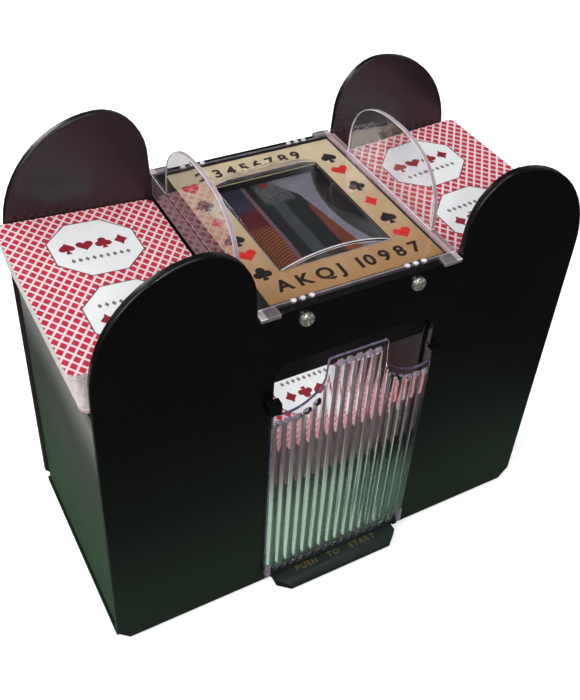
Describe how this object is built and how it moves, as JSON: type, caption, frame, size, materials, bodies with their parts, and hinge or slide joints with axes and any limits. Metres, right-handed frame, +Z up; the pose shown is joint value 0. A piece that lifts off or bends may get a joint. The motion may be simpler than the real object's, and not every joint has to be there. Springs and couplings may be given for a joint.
{
  "type": "automatic card shuffler",
  "caption": "Battery card shuffler: two sloped hoppers with rounded guards and rubber feed rollers, a centre well with a ribbed clear door, a clear top cover and a press bar.",
  "frame": {"origin": "centre of the whole footprint, press bar and rear screw heads included, on the plane the rubber feet stand on", "axes": "+X along the length from the left hopper to the right hopper, +Y from the front (door and press bar) to the rear, +Z up"},
  "size_m": [0.2114, 0.1104, 0.1885],
  "materials": {
    "black_abs": "polished black moulded ABS",
    "inner_black_abs": "satin dark brown-black moulding",
    "end_panel_abs": "satin black panel",
    "clear_styrene": "clear moulded plastic, faint violet edges",
    "gold_foil_label": "gold foil label with dark print",
    "printed_card": "printed insert, dark abstract pattern",
    "playing_cards": "coated card, red lattice back, white edges",
    "nickel_steel": "nickel-plated screw",
    "shaft_steel": "ground steel",
    "feed_rubber": "dull feed rubber",
    "foot_rubber": "dull foot rubber",
    "white_nylon": "moulded nylon",
    "brass": "turned brass",
    "motor_can_steel": "plated steel can",
    "cell_sleeve": "plain sleeved cell",
    "contact_steel": "nickel strip",
    "switch_housing": "moulded switch case"
  },
  "bodies": {
    "shell": {"art_panel": "printed_card", "base_plate": "black_abs", "battery_cell_1": "cell_sleeve", "battery_cell_2": "cell_sleeve", "battery_cell_3": "cell_sleeve", "battery_cell_4": "cell_sleeve", "battery_tray": "inner_black_abs", "card_stack_centre": "playing_cards", "clear_cover": "clear_styrene", "contact_bridge": "contact_steel", "contact_front": "contact_steel", "contact_rear": "contact_steel", "door_catch_left": "black_abs", "door_catch_right": "black_abs", "door_pin_left": "shaft_steel", "door_pin_right": "shaft_steel", "end_panel_left": "end_panel_abs", "end_panel_right": "end_panel_abs", "foot_front_left": "foot_rubber", "foot_front_right": "foot_rubber", "foot_rear_left": "foot_rubber", "foot_rear_right": "foot_rubber", "front_plate": "black_abs", "gold_label": "gold_foil_label", "hopper_floor_left": "inner_black_abs", "hopper_floor_right": "inner_black_abs", "motor_left": "motor_can_steel", "motor_right": "motor_can_steel", "press_pivot_pin": "shaft_steel", "press_spring": "shaft_steel", "rear_plate": "black_abs", "screw_front_left": "nickel_steel", "screw_front_right": "nickel_steel", "screw_rear_left": "nickel_steel", "screw_rear_right": "nickel_steel", "switch_body": "switch_housing", "top_deck": "inner_black_abs", "tray_floor": "inner_black_abs", "well_wall_left": "inner_black_abs", "well_wall_right": "inner_black_abs"},
    "door": {"tray_door": "clear_styrene"},
    "press_bar": {"press_bar": "black_abs"},
    "switch_button": {"switch_button": "white_nylon"},
    "battery_door": {"battery_door": "black_abs"},
    "cards_left": {"card_stack_left": "playing_cards"},
    "cards_right": {"card_stack_right": "playing_cards"},
    "rollers_left": {"roller_shaft_left": "shaft_steel", "roller_left_front": "feed_rubber", "roller_left_rear": "feed_rubber", "shaft_gear_left": "white_nylon"},
    "idler_left": {"idler_gear_left": "white_nylon"},
    "pinion_left": {"motor_pinion_left": "brass"},
    "rollers_right": {"roller_shaft_right": "shaft_steel", "roller_right_front": "feed_rubber", "roller_right_rear": "feed_rubber", "shaft_gear_right": "white_nylon"},
    "idler_right": {"idler_gear_right": "white_nylon"},
    "pinion_right": {"motor_pinion_right": "brass"}
  },
  "joints": [
    {"name": "tray_door_hinge", "type": "hinge", "parent": "shell", "child": "door", "pos_m": [0, -0.0471, 0.0075], "axis": [1, 0, 0], "range_deg": [0, 88]},
    {"name": "press_bar_tilt", "type": "hinge", "parent": "shell", "child": "press_bar", "pos_m": [0, -0.022, 0.0076], "axis": [1, 0, 0], "range_deg": [0, 2.4], "stiffness_Nm_per_rad": 1.2, "springref_deg": -114.59, "deforming": ["press_spring"]},
    {"name": "switch_press", "type": "slide", "parent": "shell", "child": "switch_button", "axis": [0, 0, 1], "range_m": [0, 0.00045]},
    {"name": "battery_door_hinge", "type": "hinge", "parent": "shell", "child": "battery_door", "pos_m": [0, -0.0032, 0.00235], "axis": [-1, 0, 0], "range_deg": [0, 90]},
    {"name": "deck_lift_left", "type": "slide", "parent": "shell", "child": "cards_left", "axis": [-0.155, 0, 0.9879], "range_m": [0, 0.07]},
    {"name": "roller_spin_left", "type": "hinge", "parent": "shell", "child": "rollers_left", "pos_m": [-0.054, 0.004, 0.11625], "axis": [0, 1, 0], "continuous": true},
    {"name": "idler_spin_left", "type": "hinge", "parent": "shell", "child": "idler_left", "pos_m": [-0.06171, 0.0466, 0.10706], "axis": [0, 1, 0], "continuous": true},
    {"name": "pinion_spin_left", "type": "hinge", "parent": "shell", "child": "pinion_left", "pos_m": [-0.079, 0.0466, 0.10076], "axis": [0, 1, 0], "continuous": true},
    {"name": "deck_lift_right", "type": "slide", "parent": "shell", "child": "cards_right", "axis": [0.155, 0, 0.9879], "range_m": [0, 0.07]},
    {"name": "roller_spin_right", "type": "hinge", "parent": "shell", "child": "rollers_right", "pos_m": [0.054, 0.004, 0.11625], "axis": [0, 1, 0], "continuous": true},
    {"name": "idler_spin_right", "type": "hinge", "parent": "shell", "child": "idler_right", "pos_m": [0.06171, 0.0466, 0.10706], "axis": [0, 1, 0], "continuous": true},
    {"name": "pinion_spin_right", "type": "hinge", "parent": "shell", "child": "pinion_right", "pos_m": [0.079, 0.0466, 0.10076], "axis": [0, 1, 0], "continuous": true}
  ],
  "couplings": [
    {"joint": "switch_press", "follows": "press_bar_tilt", "m_per_rad": 0.01},
    {"joint": "idler_spin_left", "follows": "roller_spin_left", "ratio": -1.5},
    {"joint": "pinion_spin_left", "follows": "roller_spin_left", "ratio": 5.4},
    {"joint": "idler_spin_right", "follows": "roller_spin_right", "ratio": -1.5},
    {"joint": "pinion_spin_right", "follows": "roller_spin_right", "ratio": 5.4}
  ]
}
